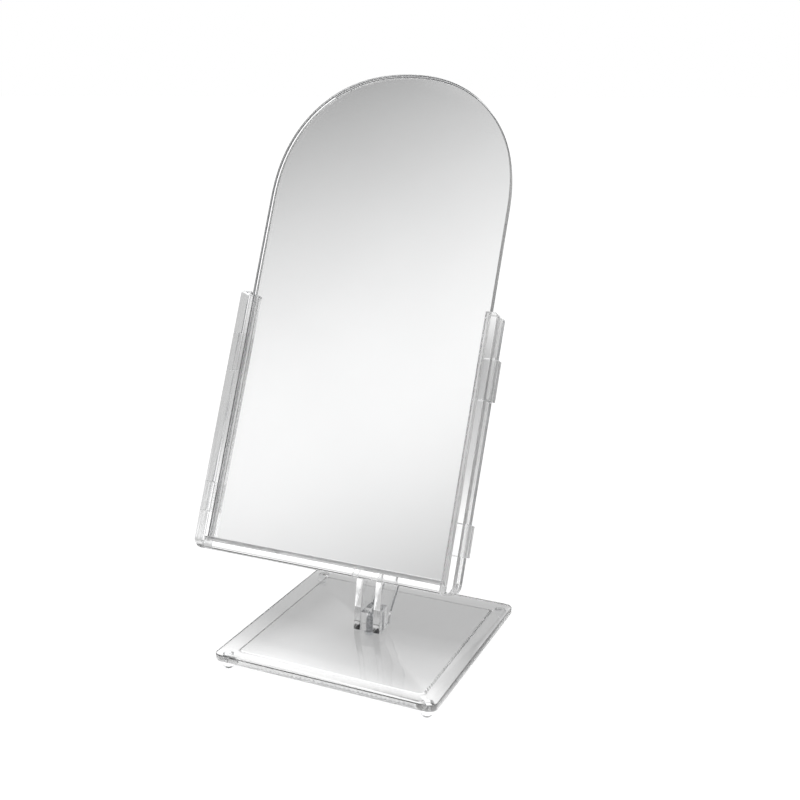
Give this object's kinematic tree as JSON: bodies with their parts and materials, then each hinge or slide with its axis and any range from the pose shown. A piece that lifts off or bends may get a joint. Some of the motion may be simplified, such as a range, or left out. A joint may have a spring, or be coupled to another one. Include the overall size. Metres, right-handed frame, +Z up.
{
  "type": "countertop mirror",
  "caption": "Arched mirror standing in a clear open-topped frame that tilts on a clear bowed rear arm with a tension knob, on a square clear base with ball feet.",
  "frame": {"origin": "centre of the square base on the surface it stands on, at the bottom of the feet", "axes": "+Z up, the mirror faces -Y, +X to the right of a person looking into the mirror"},
  "size_m": [0.2072, 0.1841, 0.4372],
  "materials": {
    "clear_acrylic_base": "crystal clear moulded, polished edges",
    "clear_acrylic_arm": "crystal clear sheet, polished edges",
    "clear_acrylic_frame": "crystal clear bar, polished",
    "clear_mirror_panel": "crystal clear sheet, polished edge",
    "mirror_silver": "silvered",
    "backing_grey": "matt protective sheet",
    "clear_soft_foot": "translucent soft, ball-ended",
    "clear_cushion": "translucent soft strip",
    "clear_knob": "clear fluted knob",
    "steel": "bright zinc plated",
    "nylon": "natural nylon"
  },
  "bodies": {
    "base": {"arm_foot_block": "clear_acrylic_arm", "arm_spacer": "clear_acrylic_arm", "arm_spacer_nut": "steel", "arm_spacer_screw": "steel", "base_screw_back": "steel", "base_screw_front": "steel", "base_tray": "clear_acrylic_base", "base_washer_back": "steel", "base_washer_front": "steel", "cheek_left": "clear_acrylic_arm", "cheek_right": "clear_acrylic_arm", "foot_back_left": "clear_soft_foot", "foot_back_right": "clear_soft_foot", "foot_front_left": "clear_soft_foot", "foot_front_right": "clear_soft_foot", "friction_washer_left": "nylon", "friction_washer_right": "nylon", "knob_washer": "steel", "pivot_bolt": "steel"},
    "mirror_head": {"bottom_rail": "clear_acrylic_frame", "channel_left": "clear_acrylic_frame", "channel_right": "clear_acrylic_frame", "hinge_lug": "clear_acrylic_arm", "hinge_screw_lower_left": "steel", "hinge_screw_lower_right": "steel", "hinge_screw_upper_left": "steel", "hinge_screw_upper_right": "steel", "lower_strap": "clear_acrylic_frame", "mirror_backing": "backing_grey", "mirror_panel": "clear_mirror_panel", "mirror_silver": "mirror_silver", "rail_cushion_left": "clear_cushion", "rail_cushion_right": "clear_cushion", "side_pad_lower_left": "clear_acrylic_frame", "side_pad_lower_right": "clear_acrylic_frame", "side_pad_upper_left": "clear_acrylic_frame", "side_pad_upper_right": "clear_acrylic_frame", "upper_strap": "clear_acrylic_frame"},
    "knob": {"tension_knob": "clear_knob"}
  },
  "joints": [
    {"name": "head_tilt", "type": "hinge", "parent": "base", "child": "mirror_head", "pos_m": [0, 0.0028, 0.2216], "axis": [1, 0, 0], "range_deg": [-22, 24]},
    {"name": "knob_turn", "type": "hinge", "parent": "base", "child": "knob", "pos_m": [0, 0.0028, 0.2216], "axis": [1, 0, 0], "range_deg": [-180, 180]}
  ]
}
